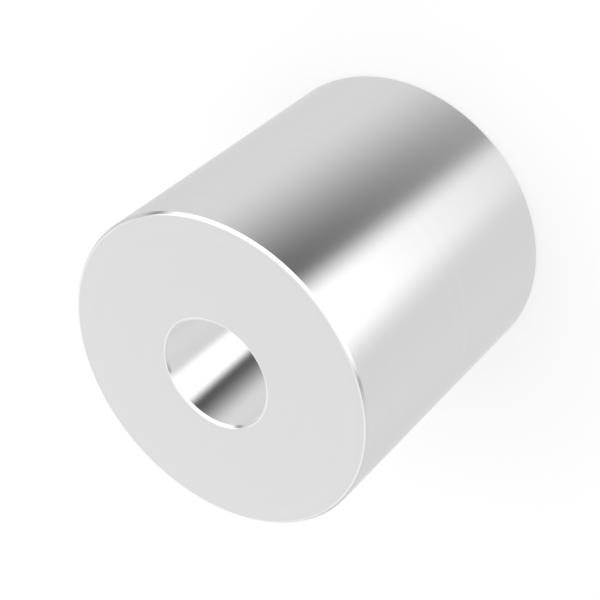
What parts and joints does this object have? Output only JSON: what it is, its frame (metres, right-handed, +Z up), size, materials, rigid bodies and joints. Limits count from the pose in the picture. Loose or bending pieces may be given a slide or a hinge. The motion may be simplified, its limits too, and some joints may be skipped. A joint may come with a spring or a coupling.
{
  "type": "spacer sleeve",
  "caption": "Plain round metal spacer sleeve as long as it is wide, with a through clearance bore for a screw and fine chamfered ends.",
  "frame": {"origin": "centre of the lower end face, on the bore's axis", "axes": "+Z up along the bore's axis, out of the end face that the picture shows; X and Y are alike, as the sleeve is round"},
  "size_m": [0.025, 0.025, 0.025],
  "materials": {
    "turned_steel": "bright fine-turned stainless steel, uncoated, with faced ends"
  },
  "bodies": {
    "root": {"spacer_sleeve": "turned_steel"}
  },
  "joints": []
}
